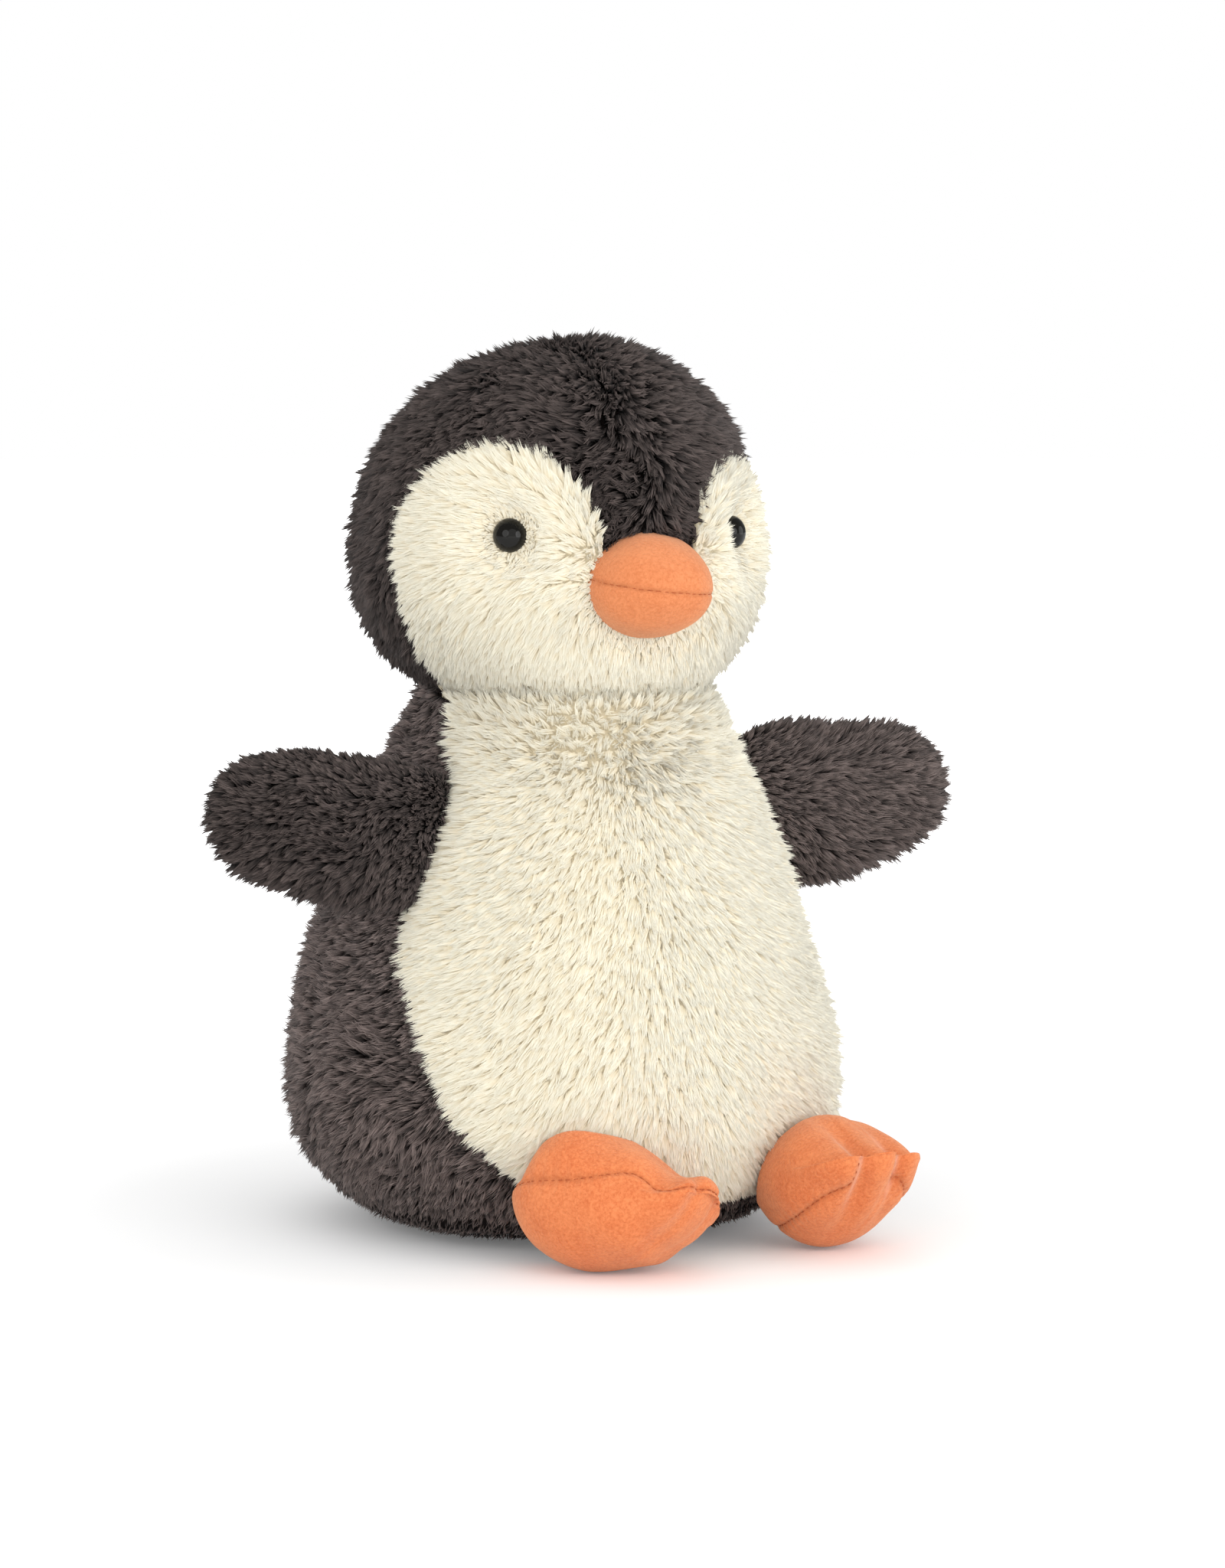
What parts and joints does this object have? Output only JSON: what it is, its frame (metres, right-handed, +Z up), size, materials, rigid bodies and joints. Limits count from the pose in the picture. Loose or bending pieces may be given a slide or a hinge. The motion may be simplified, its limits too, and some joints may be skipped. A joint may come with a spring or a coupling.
{
  "type": "plush penguin",
  "caption": "Seated plush penguin toy with a dark back, cream face and belly, and suede beak and feet; its head turns and its wings and feet swing on their seams.",
  "frame": {"origin": "middle of the base, on the floor the toy sits on", "axes": "+Z up, the toy faces -Y, and its left side is +X"},
  "size_m": [0.2102, 0.1697, 0.2285],
  "materials": {
    "dark_plush": "long brushed pile",
    "cream_plush": "long brushed pile",
    "orange_suede": "short velour",
    "stuffing": "loose fibre",
    "bean_cloth": "plain weave",
    "eye_plastic": "polished",
    "washer_plastic": "moulded"
  },
  "bodies": {
    "body": {"belly_panel_left": "cream_plush", "belly_panel_right": "cream_plush", "back_panel_left": "dark_plush", "back_panel_right": "dark_plush", "base_panel": "dark_plush", "body_stuffing": "stuffing", "bean_pouch": "bean_cloth"},
    "head": {"crown_panel_left": "dark_plush", "crown_panel_right": "dark_plush", "face_panel_left": "cream_plush", "face_panel_right": "cream_plush", "head_stuffing": "stuffing", "eye_left": "eye_plastic", "eye_right": "eye_plastic", "eye_washer_left": "washer_plastic", "eye_washer_right": "washer_plastic", "beak_upper": "orange_suede", "beak_lower": "orange_suede", "beak_stuffing": "stuffing"},
    "wing_left": {"wing_left_front": "dark_plush", "wing_left_back": "dark_plush", "wing_left_stuffing": "stuffing"},
    "foot_left": {"foot_left_top": "orange_suede", "foot_left_sole": "orange_suede", "foot_left_stuffing": "stuffing"},
    "wing_right": {"wing_right_front": "dark_plush", "wing_right_back": "dark_plush", "wing_right_stuffing": "stuffing"},
    "foot_right": {"foot_right_top": "orange_suede", "foot_right_sole": "orange_suede", "foot_right_stuffing": "stuffing"}
  },
  "joints": [
    {"name": "head_turn", "type": "hinge", "parent": "body", "child": "head", "pos_m": [0, 0, 0.139], "axis": [0, 0, 1], "range_deg": [-20, 20], "stiffness_Nm_per_rad": 0.2},
    {"name": "wing_left_swing", "type": "hinge", "parent": "body", "child": "wing_left", "pos_m": [0.05297, -0.02033, 0.10375], "axis": [0.3688, -0.1416, -0.9187], "range_deg": [-30, 70], "stiffness_Nm_per_rad": 0.05},
    {"name": "wing_right_swing", "type": "hinge", "parent": "body", "child": "wing_right", "pos_m": [-0.05297, -0.02033, 0.10375], "axis": [0.3688, 0.1416, 0.9187], "range_deg": [-30, 70], "stiffness_Nm_per_rad": 0.05},
    {"name": "foot_left_tip", "type": "hinge", "parent": "body", "child": "foot_left", "pos_m": [0.03424, -0.06076, 0.027], "axis": [-0.8712, -0.4909, 0], "range_deg": [-10, 35], "stiffness_Nm_per_rad": 0.1},
    {"name": "foot_right_tip", "type": "hinge", "parent": "body", "child": "foot_right", "pos_m": [-0.02488, -0.06515, 0.027], "axis": [-0.9342, 0.3567, 0], "range_deg": [-10, 35], "stiffness_Nm_per_rad": 0.1}
  ]
}
